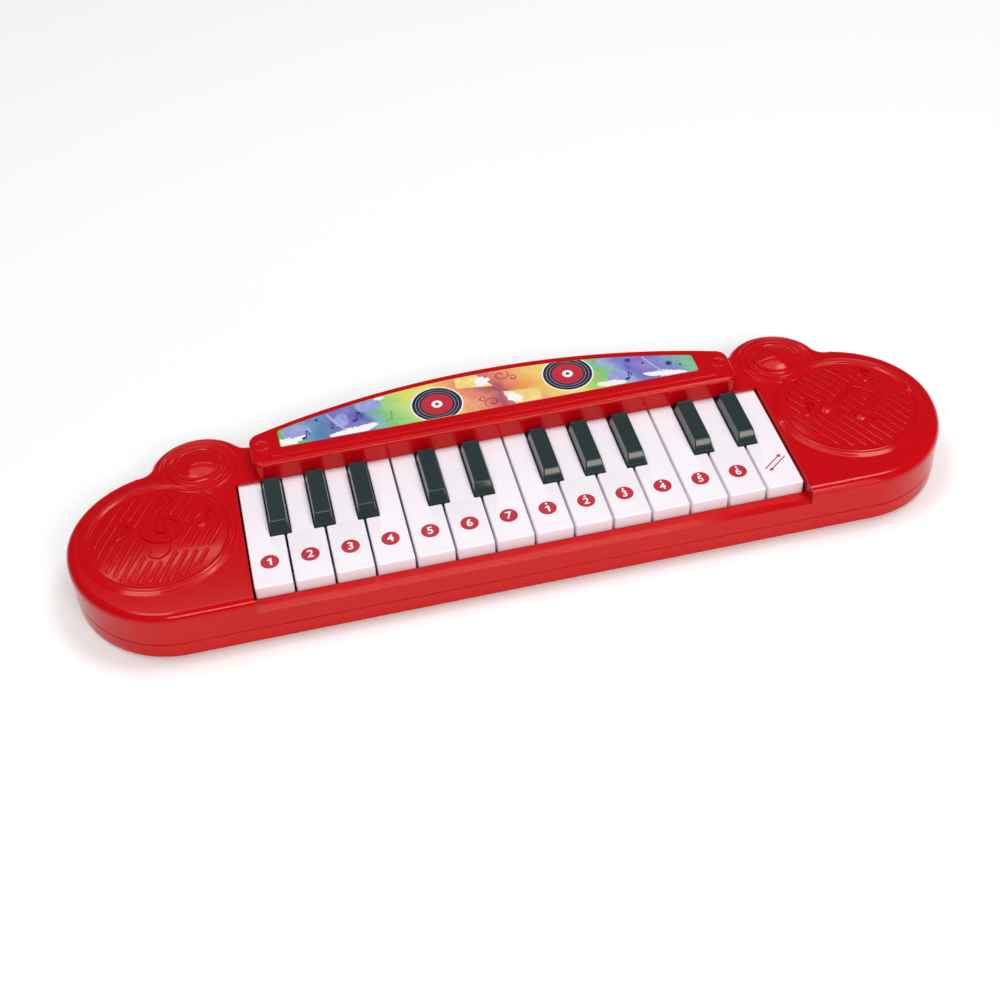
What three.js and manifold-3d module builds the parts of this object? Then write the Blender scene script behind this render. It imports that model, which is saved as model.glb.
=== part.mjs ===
// Toy electronic keyboard: moulded red case, fourteen hinged white keys, ten hinged black keys,
// speaker, battery box, circuit boards and a rear slide switch.
// Millimetres, +Z up. The origin is under the middle of the case, on the plane of the feet.
import * as THREE from 'three';
import { mergeVertices } from 'three/addons/utils/BufferGeometryUtils.js';
import Module from 'manifold-3d';

const wasm = await Module();
wasm.setup();

// Case, seen from above
const CASE_FRONT = -58;          // y of the front wall
const CASE_REAR = 58;            // y of the highest point of the arched rear wall
const END_X = 158;               // x of the centre of each rounded end
const END_Y = -7;                // y of the centre of each rounded end
const END_RX = 47;               // half width of the rounded end along x
const END_FRONT_RY = 51;         // its front radius along y
const END_REAR_RY = 44;          // its rear radius along y
const DISH_X = 141.5;            // centre of the round dish at each rear corner
const DISH_Y = 31.5;
const DISH_BUMP_R = 24;          // outline radius around the dish
const RING_X = 142;              // centre of the raised ring in the dish
const RING_Y = 33.8;
const CONSOLE_X = 117;           // half length of the raised console
const CONSOLE_FRONT = 17;        // y of the console wall behind the keys
const ARCH_R = 363;              // radius of the arched rear wall
const ARCH_CY = CASE_REAR - ARCH_R;

// Case, heights
const FOOT_H = 1;                // the case bottom stands this high on its feet
const FLOOR_TOP = 3;
const SEAM_LOW = 9.3;            // rim of the lower case
const SEAM_HIGH = 9.6;           // rim of the upper case
const LIP_TOP = 11.5;            // top of the lip that locates the two halves
const SILL_TOP = 19.2;           // sill in front of the keys
const CHEEK_TOP = 27;            // flat top beside the keys
const CONSOLE_TOP = 35.6;
const WALL = 2;
const LOWER_WALL = 3.5;          // lower wall with its lip
const CHEEK_FILLET = 4;
const CONSOLE_FILLET = 1.8;
const BOTTOM_FILLET = 1.5;

// Keys
const PITCH = 18;
const WHITE_COUNT = 14;
const BAY_X = 126.3;             // half length of the key bay
const KEYS_LEFT = -125.5;
const BAY_FRONT = -49.8;
const KEY_TOP = 25;
const KEY_FRONT = -49;
const KEY_REAR = 29;
const WHITE_W = 17;
const WHITE_BOTTOM = 15.5;
const KEY_WALL = 1.5;
const BLACK_W = 9.2;
const BLACK_TOP_W = 7.5;
const BLACK_FRONT = -18;
const BLACK_TOP_FRONT = -15;
const BLACK_RAISED_REAR = 13.2;
const BLACK_TOP = 30.5;
const NOTCH_GAP = 0.35;         // beside a black key
const NOTCH_FRONT = 0.75;        // ahead of it, as its front swings forward
const HINGE_Y = 27;
const HINGE_Z = 15.5;
const HINGE_R = 1.6;             // round ridge that the keys turn on
const HINGE_CLEAR = 0.4;

// Battery box and speaker
const BATTERY_X = 163;
const BATTERY_Y = -8;
const BATTERY_L = 49.2;
const BATTERY_R = 7.2;
const BATTERY_PITCH = 15.2;
const BATTERY_Z = 10.9;
const BATTERY_BAY_L = 54.4;      // hollow of the battery box along x
const BATTERY_BAY_W = 46.1;
const DOOR_X0 = 129.2;           // the door runs past the box to its screw
const DOOR_X1 = 191.4;
const DOOR_W = 48.5;
const DOOR_SCREW_X = 132.4;
const SPEAKER_X = -164;
const SPEAKER_Y = -7;
const GRILLE_X = 163.5;          // round panel on top of each end
const GRILLE_Y = -8.7;

// Label
const LABEL_CX = -1.3;
const LABEL_X = 101.6;           // half length
const LABEL_FRONT = 27.3;
const LABEL_REAR = 53.9;
const LABEL_GAP = 0.25;
const LABEL_RECESS = 0.6;

// Screws that hold the case halves together
const CASE_SCREWS = [[-140, -44], [140, -44], [-150, 36], [150, 36], [-70, 42], [70, 42]];
const FEET = [[-122, -46], [122, -46], [-120, 36], [120, 36]];

// Materials
const paint = (color, roughness, metalness = 0) =>
  new THREE.MeshStandardMaterial({ color, roughness, metalness });
const redPlastic = paint(0xc4201c, 0.22);
const redDoor = paint(0xb82420, 0.3);
const whitePlastic = paint(0xf2eaf2, 0.25);
const blackPlastic = paint(0x15191a, 0.15);
const greyPlastic = paint(0xb9bbbd, 0.45);
const darkPlastic = paint(0x202224, 0.5);
const labelSheet = paint(0x8f8fd0, 0.35);
const feltCloth = paint(0x6c2b2b, 0.95);
const siliconeRubber = paint(0xd8d8d2, 0.7);
const blackRubber = paint(0x1b1b1b, 0.85);
const boardLaminate = paint(0xa8743c, 0.55);
const chipEpoxy = paint(0x0c0c0e, 0.35);
const steel = paint(0x9a9da0, 0.35, 1);
const magnetSteel = paint(0x55585c, 0.4, 1);
const conePaper = paint(0x26262a, 0.9);
const cellWrap = paint(0x2f6d4a, 0.35);
const wireSleeve = paint(0x2a2a6a, 0.5);
const wireSleeveRed = paint(0xa02020, 0.5);

// Solids
function solid(geometry) {
  geometry.deleteAttribute('normal');
  geometry.deleteAttribute('uv');
  const g = mergeVertices(geometry, 1e-4);
  return new wasm.Manifold(new wasm.Mesh({
    numProp: 3,
    vertProperties: new Float32Array(g.attributes.position.array),
    triVerts: new Uint32Array(g.index.array),
  }));
}

function box(x0, x1, y0, y1, z0, z1) {
  const g = new THREE.BoxGeometry(x1 - x0, y1 - y0, z1 - z0);
  g.translate((x0 + x1) / 2, (y0 + y1) / 2, (z0 + z1) / 2);
  return solid(g);
}

function post(x, y, r, z0, z1, sides = 12) {
  const g = new THREE.CylinderGeometry(r, r, z1 - z0, sides);
  g.rotateX(Math.PI / 2);
  g.translate(x, y, (z0 + z1) / 2);
  return solid(g);
}

function lathe(profile, x, y, sides) {
  const g = new THREE.LatheGeometry(profile.map(([r, z]) => new THREE.Vector2(r, z)), sides);
  g.rotateX(Math.PI / 2);
  g.translate(x, y, 0);
  return solid(g);
}

function slab(points, z0, z1) {
  const shape = new THREE.Shape(points.map(([x, y]) => new THREE.Vector2(x, y)));
  const g = new THREE.ExtrudeGeometry(shape, { depth: z1 - z0, bevelEnabled: false });
  g.translate(0, 0, z0);
  return solid(g);
}

// A slab whose top edge is rounded with radius r
function roundedSlab(points, z0, z1, r, segments) {
  const shape = new THREE.Shape(points.map(([x, y]) => new THREE.Vector2(x, y)));
  const base = z0 - 2 * r;
  const g = new THREE.ExtrudeGeometry(shape, {
    depth: z1 - base - 2 * r,
    bevelThickness: r,
    bevelSize: r,
    bevelOffset: -r,
    bevelSegments: segments,
  });
  g.translate(0, 0, base + r);
  return solid(g).subtract(box(-300, 300, -300, 300, base - 10, z0));
}

function flipZ(body, z) {
  return body.mirror([0, 0, 1]).translate([0, 0, 2 * z]);
}

function union(list) {
  return list.reduce((a, b) => a.add(b));
}

// Outlines
function arc(cx, cy, rx, ry, from, to, steps) {
  const out = [];
  for (let i = 0; i <= steps; i++) {
    const a = THREE.MathUtils.degToRad(from + ((to - from) * i) / steps);
    out.push([cx + rx * Math.cos(a), cy + ry * Math.sin(a)]);
  }
  return out;
}

// Rounds the corners of a polygon given as [x, y, radius]
function rounded(corners, steps = 3) {
  const out = [];
  corners.forEach(([x, y, r], i) => {
    if (!r) {
      out.push([x, y]);
      return;
    }
    const p = new THREE.Vector2(x, y);
    const before = new THREE.Vector2(...corners.at(i - 1).slice(0, 2)).sub(p).normalize();
    const after = new THREE.Vector2(...corners[(i + 1) % corners.length].slice(0, 2)).sub(p).normalize();
    const half = Math.acos(THREE.MathUtils.clamp(before.dot(after), -1, 1)) / 2;
    const mid = before.clone().add(after).normalize();
    const centre = p.clone().addScaledVector(mid, r / Math.sin(half));
    const start = p.clone().addScaledVector(before, r / Math.tan(half)).sub(centre);
    const turn = Math.PI - 2 * half;
    const sign = before.cross(after) < 0 ? 1 : -1;
    for (let k = 0; k <= steps; k++) {
      const q = start.clone().rotateAround(new THREE.Vector2(0, 0), (sign * turn * k) / steps);
      out.push([centre.x + q.x, centre.y + q.y]);
    }
  });
  return out;
}

// Moves every vertex of a counter-clockwise outline inwards by d
function inset(points, d) {
  const n = points.length;
  return points.map(([x, y], i) => {
    const [px, py] = points[(i + n - 1) % n];
    const [qx, qy] = points[(i + 1) % n];
    const a = new THREE.Vector2(x - px, y - py).normalize();
    const b = new THREE.Vector2(qx - x, qy - y).normalize();
    const scale = d / (1 + a.dot(b));
    return [x - (a.y + b.y) * scale, y + (a.x + b.x) * scale];
  });
}

// Low part of the case: two rounded ends with a dish bump at each rear corner
const JOIN_R = 7;
const JOIN_X = 170.3;
const JOIN_Y = 42.4;
const joinAngle = THREE.MathUtils.radToDeg(Math.atan2(JOIN_Y - DISH_Y, JOIN_X - DISH_X));
const rightSide = [
  ...arc(END_X, END_Y, END_RX, END_FRONT_RY, -90, 0, 10),
  ...arc(END_X, END_Y, END_RX, END_REAR_RY, 0, 72, 8).slice(1),
  ...arc(JOIN_X, JOIN_Y, JOIN_R, JOIN_R, -76, -180 + joinAngle, 4),
  ...arc(DISH_X, DISH_Y, DISH_BUMP_R, DISH_BUMP_R, joinAngle, 143, 8).slice(1),
  [120.6, 44.4],
  [118.4, 43.6],
  [104.5, 42.3],
  [104.5, 33],
];
const lowOutline = [...rightSide, ...rightSide.map(([x, y]) => [-x, y]).reverse()];

function arch(halfX, apexY, radius, steps) {
  const out = [];
  for (let i = 0; i <= steps; i++) {
    const x = halfX - (2 * halfX * i) / steps;
    out.push([x, apexY - radius + Math.sqrt(radius * radius - x * x)]);
  }
  return out;
}

const archAtCorner = ARCH_CY + Math.sqrt(ARCH_R ** 2 - CONSOLE_X ** 2);
const consoleOutline = rounded([
  [-CONSOLE_X, CONSOLE_FRONT, 5],
  [CONSOLE_X, CONSOLE_FRONT, 5],
  [CONSOLE_X, archAtCorner, 6],
  ...arch(105, CASE_REAR, ARCH_R, 12).map(([x, y]) => [x, y, 0]),
  [-CONSOLE_X, archAtCorner, 6],
], 4);

const labelRadius = ARCH_R - (CASE_REAR - LABEL_REAR);
const labelSide = LABEL_REAR - labelRadius + Math.sqrt(labelRadius ** 2 - LABEL_X ** 2);
const labelOutline = rounded([
  [-LABEL_X, LABEL_FRONT, 1.5],
  [LABEL_X, LABEL_FRONT, 1.5],
  [LABEL_X, labelSide, 1.5],
  ...arch(92, LABEL_REAR, labelRadius, 12).map(([x, y]) => [x, y, 0]),
  [-LABEL_X, labelSide, 1.5],
], 2).map(([x, y]) => [x + LABEL_CX, y]);

// Upper case
function upperCase() {
  const outside = roundedSlab(lowOutline, SEAM_HIGH, CHEEK_TOP, CHEEK_FILLET, 3)
    .add(roundedSlab(consoleOutline, SEAM_HIGH, CONSOLE_TOP, CONSOLE_FILLET, 2));
  const bayWalls = box(-BAY_X - WALL, -BAY_X, CASE_FRONT, CONSOLE_FRONT, 12, CHEEK_TOP)
    .add(box(BAY_X, BAY_X + WALL, CASE_FRONT, CONSOLE_FRONT, 12, CHEEK_TOP));
  const sill = box(-BAY_X - 1, BAY_X + 1, CASE_FRONT, BAY_FRONT, SILL_TOP - WALL, SILL_TOP);
  const inside = slab(inset(lowOutline, WALL), SEAM_HIGH - 1, CHEEK_TOP - WALL)
    .subtract(bayWalls)
    .subtract(sill)
    .add(slab(inset(consoleOutline, WALL), SEAM_HIGH - 1, CONSOLE_TOP - WALL));
  let body = outside.subtract(inside);

  const bosses = CASE_SCREWS.map(([x, y]) => {
    const top = Math.abs(x) < CONSOLE_X ? CONSOLE_TOP - 1.2 : CHEEK_TOP - 1.2;
    return post(x, y, 3.6, 10.3, top);
  });
  const pilots = CASE_SCREWS.map(([x, y]) => post(x, y, 1.6, 9, 21, 8));
  body = body.add(union(bosses)).subtract(union(pilots));

  const bay = box(-BAY_X, BAY_X, BAY_FRONT, CONSOLE_FRONT, 5, 60)
    .add(box(-BAY_X, BAY_X, CASE_FRONT - 5, BAY_FRONT + 1, SILL_TOP, 60))
    .add(box(-BAY_X, BAY_X, CONSOLE_FRONT - 1, 31, 20, KEY_TOP + 0.6));
  body = body.subtract(bay);

  for (const side of [-1, 1]) {
    const x = side * RING_X;
    const hollow = [[0, CHEEK_TOP - 1.1], [5, CHEEK_TOP - 0.8], [9.5, CHEEK_TOP + 0.2], [9.5, 40], [0, 40]];
    const rim = [[14.6, CHEEK_TOP - 1], [17, CHEEK_TOP - 1], [16.3, CHEEK_TOP + 0.6], [15.3, CHEEK_TOP + 0.6]];
    body = body.add(lathe([...rim, rim[0]], x, RING_Y, 28));
    body = body.subtract(lathe(hollow, x, RING_Y, 24));
    const bead = [[31.2, CHEEK_TOP - 1], [33.6, CHEEK_TOP - 1], [32.9, CHEEK_TOP + 0.5], [31.9, CHEEK_TOP + 0.5]];
    body = body.add(lathe([...bead, bead[0]], side * GRILLE_X, GRILLE_Y, 40));
    body = body.subtract(post(side * GRILLE_X, GRILLE_Y, 30, CHEEK_TOP - 0.6, 60, 36));
    body = body.add(post(side * 111.2, 30.5, 3.4, CONSOLE_TOP - 1, CONSOLE_TOP + 0.4, 16));
  }
  const band = rounded([[-108, 21.3, 1.4], [108, 21.3, 1.4], [108, 24.2, 1.4], [-108, 24.2, 1.4]], 2);
  body = body.add(slab(band, CONSOLE_TOP - 0.5, CONSOLE_TOP + 0.4));
  const labelPocket = inset(labelOutline, -LABEL_GAP);
  body = body.subtract(slab(labelPocket, CONSOLE_TOP - LABEL_RECESS, CONSOLE_TOP + 5));
  return body.subtract(box(-5.5, 5.5, 50, 62, 16.5, 20.5));
}

// Lower case
function lowerCase() {
  const shell = (points, low) => flipZ(roundedSlab(points, -SEAM_LOW, -FOOT_H, low, 2), 0);
  let body = shell(lowOutline, BOTTOM_FILLET).add(shell(consoleOutline, BOTTOM_FILLET));
  body = body.add(slab(inset(lowOutline, WALL + 0.3), FLOOR_TOP, LIP_TOP));
  body = body.add(slab(inset(consoleOutline, WALL + 0.3), FLOOR_TOP, LIP_TOP));
  const inside = slab(inset(lowOutline, LOWER_WALL), FLOOR_TOP, LIP_TOP + 5)
    .add(slab(inset(consoleOutline, LOWER_WALL), FLOOR_TOP, LIP_TOP + 5));
  body = body.subtract(inside);

  const added = CASE_SCREWS.map(([x, y]) => post(x, y, 4.6, 2, 10));
  const removed = CASE_SCREWS.flatMap(([x, y]) => [post(x, y, 3.4, 0, 6.5), post(x, y, 1.7, 6, 12, 8)]);
  for (const x of [-118, 0, 118]) {
    for (const y of [-37, -9]) {
      added.push(post(x, y, 2.4, 2, 6.2, 8));
    }
  }
  for (const x of [-36, 36]) {
    for (const y of [38, 46]) {
      added.push(post(x, y, 2, 2, 5.2, 8));
    }
  }
  for (const x of [-122, -62, 0, 62, 122]) {
    added.push(box(x - 1, x + 1, 24, 30, 2, 10.7));
  }
  added.push(box(-124, 124, -48, -44.5, 2, 8.2));
  for (const [x, y] of FEET) {
    removed.push(post(x, y, 6.4, 0, 2.1, 20));
  }

  const roof = BATTERY_Z + BATTERY_R + 0.6;
  const halfL = BATTERY_BAY_L / 2;
  const halfW = BATTERY_BAY_W / 2;
  added.push(box(
    BATTERY_X - halfL - 2, BATTERY_X + halfL + 2,
    BATTERY_Y - halfW - 3, BATTERY_Y + halfW + 3, 2, roof + 1.5,
  ));
  added.push(post(DOOR_SCREW_X, BATTERY_Y, 3, 2, 9));
  removed.push(box(
    BATTERY_X - halfL, BATTERY_X + halfL,
    BATTERY_Y - halfW, BATTERY_Y + halfW, 0, roof,
  ));
  removed.push(box(
    DOOR_X0 - 0.3, DOOR_X1 + 0.3,
    BATTERY_Y - DOOR_W / 2 - 0.3, BATTERY_Y + DOOR_W / 2 + 0.3, 0, FLOOR_TOP + 0.3,
  ));
  removed.push(post(DOOR_SCREW_X, BATTERY_Y, 1.5, 0, 7.5, 8));

  const holes = [[0, 0], ...arc(0, 0, 8, 8, 0, 300, 5), ...arc(0, 0, 16, 16, 0, 330, 11)];
  for (const [x, y] of holes) {
    removed.push(post(SPEAKER_X + x, SPEAKER_Y + y, 1.8, 0, 4, 8));
  }
  return body.add(union(added)).subtract(union(removed));
}

// Keys. The black key sits off the gap between its white neighbours like on a piano.
const BLACK_KEYS = [
  [1, -2], [2, 0], [3, 2], [5, -1.6], [6, 1.6],
  [8, -2], [9, 0], [10, 2], [12, -1.6], [13, 1.6],
];
const whiteLeft = (i) => KEYS_LEFT + PITCH * i;
const blackCentre = ([gap, shift]) => KEYS_LEFT - 0.5 + PITCH * gap + shift;

// Outline of white key i, drawn from its own left edge, moved inwards by d
function whiteOutline(i, d, front, rear) {
  const left = BLACK_KEYS.find(([gap]) => gap === i);
  const right = BLACK_KEYS.find(([gap]) => gap === i + 1);
  const clear = BLACK_W / 2 + NOTCH_GAP + d;
  const x0 = left ? blackCentre(left) + clear - whiteLeft(i) : d;
  const x1 = right ? blackCentre(right) - clear - whiteLeft(i) : WHITE_W - d;
  const notch = BLACK_FRONT - NOTCH_FRONT - d;
  const r = d ? 0 : 0.6;
  const corners = [[d, front, 2 * r], [WHITE_W - d, front, 2 * r]];
  if (right) {
    corners.push([WHITE_W - d, notch, r], [x1, notch, r]);
  }
  corners.push([x1, rear, 0], [x0, rear, 0]);
  if (left) {
    corners.push([x0, notch, r], [d, notch, r]);
  }
  return rounded(corners, 2);
}

function hingeGroove(x0, x1) {
  const g = new THREE.CylinderGeometry(HINGE_R + HINGE_CLEAR, HINGE_R + HINGE_CLEAR, x1 - x0, 12);
  g.rotateZ(Math.PI / 2);
  g.translate((x0 + x1) / 2, HINGE_Y, HINGE_Z);
  return solid(g);
}

function whiteKey(i) {
  const ceiling = KEY_TOP - KEY_WALL;
  const low = WHITE_BOTTOM - 1;
  return roundedSlab(whiteOutline(i, 0, KEY_FRONT, KEY_REAR), WHITE_BOTTOM, KEY_TOP, 0.5, 1)
    .subtract(slab(whiteOutline(i, KEY_WALL, KEY_FRONT + KEY_WALL, 22), low, ceiling)
      .subtract(box(-1, WHITE_W + 1, -34, -30, low - 1, ceiling + 1)))
    .subtract(hingeGroove(-1, WHITE_W + 1));
}

function blackKey() {
  const depth = BLACK_RAISED_REAR - BLACK_FRONT;
  const g = new THREE.BoxGeometry(BLACK_W, depth, BLACK_TOP - 19.5, 1, 1, 2);
  g.translate(0, BLACK_FRONT + depth / 2, (BLACK_TOP + 19.5) / 2);
  const p = g.attributes.position;
  for (let v = 0; v < p.count; v++) {
    if (p.getZ(v) > KEY_TOP + 1) {
      p.setX(v, Math.sign(p.getX(v)) * (BLACK_TOP_W / 2));
      p.setY(v, Math.min(Math.max(p.getY(v), BLACK_TOP_FRONT), BLACK_RAISED_REAR));
    }
  }
  const half = BLACK_W / 2;
  const inner = half - KEY_WALL;
  return solid(g)
    .add(box(-half, half, BLACK_FRONT, KEY_REAR, WHITE_BOTTOM, KEY_TOP))
    .subtract(box(-inner, inner, BLACK_FRONT + 6, 20, WHITE_BOTTOM - 1, KEY_TOP))
    .subtract(hingeGroove(-half - 1, half + 1));
}

// Everything else inside the case
function hingeRail() {
  const g = new THREE.CylinderGeometry(HINGE_R, HINGE_R, 2 * BAY_X - 1, 12);
  g.rotateZ(Math.PI / 2);
  g.translate(0, HINGE_Y, HINGE_Z);
  return solid(g)
    .add(box(-BAY_X + 0.5, BAY_X - 0.5, HINGE_Y - 0.8, HINGE_Y + 0.8, 12, HINGE_Z))
    .add(box(-BAY_X + 0.5, BAY_X - 0.5, 23.5, 30.5, 11, 13.2));
}

function contactStrip(centres, y, top) {
  const domes = centres.map((x) => {
    const profile = [[0, 8.8], [3.2, 8.8], [2, top], [0, top]];
    return lathe(profile, x, y, 8);
  });
  return union([box(-124, 124, y - 4, y + 4, 8.2, 9), ...domes]);
}

function speakerFrame() {
  const profile = [
    [0, 13.4], [10, 13.4], [24.4, 5.1], [25.6, 4.2], [25.6, 3.3], [28, 3.3], [28, 4.6],
    [26.2, 5.6], [10.6, 14.6], [0, 14.6],
  ];
  return lathe(profile, SPEAKER_X, SPEAKER_Y, 20);
}

function speakerCone() {
  const profile = [
    [0, 8.2], [4, 8.6], [7, 9.8], [22.6, 4.2], [24, 3.6], [24.2, 4.2], [22.8, 5.1],
    [7.6, 11.4], [4, 9.6], [0, 9.2],
  ];
  return lathe(profile, SPEAKER_X, SPEAKER_Y, 20);
}

function batteryCell(y) {
  const profile = [[0, 0], [BATTERY_R, 0], [BATTERY_R, BATTERY_L], [2.7, BATTERY_L], [2.7, 50.4], [0, 50.4]];
  const g = new THREE.LatheGeometry(profile.map(([r, z]) => new THREE.Vector2(r, z)), 16);
  g.rotateZ(-Math.PI / 2);
  g.translate(BATTERY_X - 50.4 / 2, y, BATTERY_Z);
  return solid(g);
}

function contactPlate(side) {
  const outer = BATTERY_X + side * (BATTERY_BAY_L / 2 - 0.3);
  const inner = outer - side * 0.5;
  const x0 = Math.min(outer, inner);
  return box(x0, x0 + 0.5, BATTERY_Y - 21.5, BATTERY_Y + 21.5, 5.5, 16.5);
}

function caseScrew() {
  const profile = [[0, 4.3], [2.8, 4.3], [2.8, 6.3], [1.3, 6.3], [1.3, 19], [0, 20]];
  return lathe(profile, 0, 0, 10).subtract(box(-2, 2, -0.4, 0.4, 4, 5.1));
}

function doorScrew() {
  const profile = [[0, 1.3], [2.2, 1.3], [2.2, 2.4], [1.2, 2.4], [1.2, 6], [0, 6.6]];
  return lathe(profile, 0, 0, 10).subtract(box(-1.6, 1.6, -0.35, 0.35, 1, 1.8));
}

function batteryDoor() {
  const plate = box(
    DOOR_X0, DOOR_X1,
    BATTERY_Y - DOOR_W / 2, BATTERY_Y + DOOR_W / 2, FOOT_H, FLOOR_TOP,
  );
  return plate
    .subtract(post(DOOR_SCREW_X, BATTERY_Y, 2.5, 0, 2.6, 12))
    .subtract(post(DOOR_SCREW_X, BATTERY_Y, 1.5, 0, 5, 10));
}

function wire(points) {
  const curve = new THREE.CatmullRomCurve3(points.map((p) => new THREE.Vector3(...p)));
  const section = new THREE.Shape(arc(0, 0, 0.8, 0.8, 0, 300, 5).map(([x, y]) => new THREE.Vector2(x, y)));
  return solid(new THREE.ExtrudeGeometry(section, { steps: 14, bevelEnabled: false, extrudePath: curve }));
}

// Assembly
const keyboard = new THREE.Group();
keyboard.name = 'toy_keyboard';

function put(name, body, material, x = 0, y = 0, z = 0) {
  const mesh = body.getMesh();
  const g = new THREE.BufferGeometry();
  g.setAttribute('position', new THREE.BufferAttribute(new Float32Array(mesh.vertProperties), 3));
  g.setIndex(new THREE.BufferAttribute(new Uint32Array(mesh.triVerts), 1));
  g.computeVertexNormals();
  const m = new THREE.Mesh(g, material);
  m.name = name;
  m.position.set(x, y, z);
  keyboard.add(m);
}

const twoDigits = (n) => String(n).padStart(2, '0');

put('upper_case', upperCase(), redPlastic);
put('lower_case', lowerCase(), redPlastic);
put('label_panel', slab(labelOutline, CONSOLE_TOP - 0.55, CONSOLE_TOP - 0.1), labelSheet);
for (let i = 0; i < WHITE_COUNT; i++) {
  put(`white_key_${twoDigits(i + 1)}`, whiteKey(i), whitePlastic, whiteLeft(i));
}
BLACK_KEYS.forEach((key, i) => {
  put(`black_key_${twoDigits(i + 1)}`, blackKey(), blackPlastic, blackCentre(key));
});
put('key_hinge_rail', hingeRail(), greyPlastic);
put('key_clamp_bar', box(-114.5, 114.5, 24, 30, KEY_TOP + 0.6, KEY_TOP + 2.6), greyPlastic);
put('key_stop_felt', box(-123, 123, -47.8, -44.7, 8.5, 10.6), feltCloth);

const whiteCentres = Array.from({ length: WHITE_COUNT }, (_, i) => whiteLeft(i) + WHITE_W / 2);
put('rubber_contacts_white', contactStrip(whiteCentres, -32, 11.6), siliconeRubber);
put('rubber_contacts_black', contactStrip(BLACK_KEYS.map(blackCentre), -14.5, 12.6), siliconeRubber);
put('key_contact_board', box(-124, 124, -40, -6, 6.5, 7.9), boardLaminate);
put('main_board', box(-42, 42, 35, 49, 5.5, 7.1), boardLaminate);
put('sound_chip', box(-8, 8, 38, 46, 7.2, 9.4), chipEpoxy);

put('speaker_frame', speakerFrame(), steel);
put('speaker_magnet', post(SPEAKER_X, SPEAKER_Y, 11, 14.9, 20.5, 20), magnetSteel);
put('speaker_cone', speakerCone(), conePaper);

put('battery_door', batteryDoor(), redDoor);
put('battery_door_screw', doorScrew(), steel, DOOR_SCREW_X, BATTERY_Y);
for (let i = 0; i < 3; i++) {
  put(`battery_${i + 1}`, batteryCell(BATTERY_Y + (i - 1) * BATTERY_PITCH), cellWrap);
}
put('battery_contact_left', contactPlate(-1), steel);
put('battery_contact_right', contactPlate(1), steel);

const switchBody = box(-8, 8, 50.5, 55.6, 15.5, 21.5).subtract(box(-6, 6, 53.4, 57, 16.8, 20.2));
put('power_switch_body', switchBody, darkPlastic);
put('power_switch_knob', box(-2.5, 2.5, 53.7, 57.8, 17.1, 19.9), blackPlastic, -2.5);

CASE_SCREWS.forEach(([x, y], i) => put(`case_screw_${i + 1}`, caseScrew(), steel, x, y));
FEET.forEach(([x, y], i) => put(`rubber_foot_${i + 1}`, post(0, 0, 6, 0, 1.8, 20), blackRubber, x, y));

put('speaker_wire', wire([[-152, -7, 16.6], [-136, 8, 8], [-100, 16, 6], [-60, 33, 6], [-44, 40, 9]]), wireSleeve);
put('battery_wire', wire([[127, 12, 6], [110, 16, 6], [80, 20, 6], [56, 36, 6], [45, 42, 9]]), wireSleeveRed);

export default keyboard;
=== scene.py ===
"""Looks of the toy keyboard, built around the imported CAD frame. Sizes are in millimetres and turned into metres
when a mesh is made."""

import math

import bmesh
import bpy
from mathutils import Matrix, Vector, noise


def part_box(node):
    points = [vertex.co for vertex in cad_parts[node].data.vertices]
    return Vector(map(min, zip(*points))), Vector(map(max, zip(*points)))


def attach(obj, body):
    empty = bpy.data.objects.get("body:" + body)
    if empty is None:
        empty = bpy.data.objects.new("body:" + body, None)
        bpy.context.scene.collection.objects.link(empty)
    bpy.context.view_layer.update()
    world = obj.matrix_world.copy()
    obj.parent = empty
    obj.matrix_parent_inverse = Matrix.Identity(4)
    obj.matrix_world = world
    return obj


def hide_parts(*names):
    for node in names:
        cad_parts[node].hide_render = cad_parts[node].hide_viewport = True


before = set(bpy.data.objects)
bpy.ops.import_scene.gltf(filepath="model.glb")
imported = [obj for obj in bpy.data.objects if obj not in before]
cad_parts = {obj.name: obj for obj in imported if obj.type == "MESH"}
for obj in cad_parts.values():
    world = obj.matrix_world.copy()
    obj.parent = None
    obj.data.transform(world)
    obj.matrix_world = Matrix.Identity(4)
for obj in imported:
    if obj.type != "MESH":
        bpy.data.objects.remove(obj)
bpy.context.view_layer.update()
MM = 0.001

# Case
FRONT, REAR = -58.0, 58.0
END_X, END_Y, END_RX, END_FRONT_RY, END_REAR_RY = 158.0, -7.0, 47.0, 51.0, 44.0
DISH_X, DISH_Y, BUMP_R = 141.5, 31.5, 24.0
JOIN_X, JOIN_Y, JOIN_R = 170.3, 42.4, 7.0
CONSOLE_X, CONSOLE_FRONT, ARCH_R = 117.0, 17.0, 363.0
BOTTOM, FLOOR_TOP, SEAM_LOW, SEAM_HIGH = 1.0, 3.0, 9.3, 9.6
SILL_TOP, CHEEK_TOP, CONSOLE_TOP, WALL = 19.2, 27.0, 35.6, 2.0
BAY_X, BAY_FRONT = 126.3, -49.8
GRILLE_X, GRILLE_Y = 163.4, -7.8
RING_X, RING_Y = 142.0, 33.6
SPEAKER_X, SPEAKER_Y = -164.0, -7.0
LIP_TOP, LIP_SKIN, ROOM_SKIN = 11.4, 2.4, 3.5
SCREWS = [(-140, -44), (140, -44), (-150, 36), (150, 36), (-70, 42), (70, 42)]
FEET = [(-122, -46), (122, -46), (-120, 36), (120, 36)]

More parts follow.
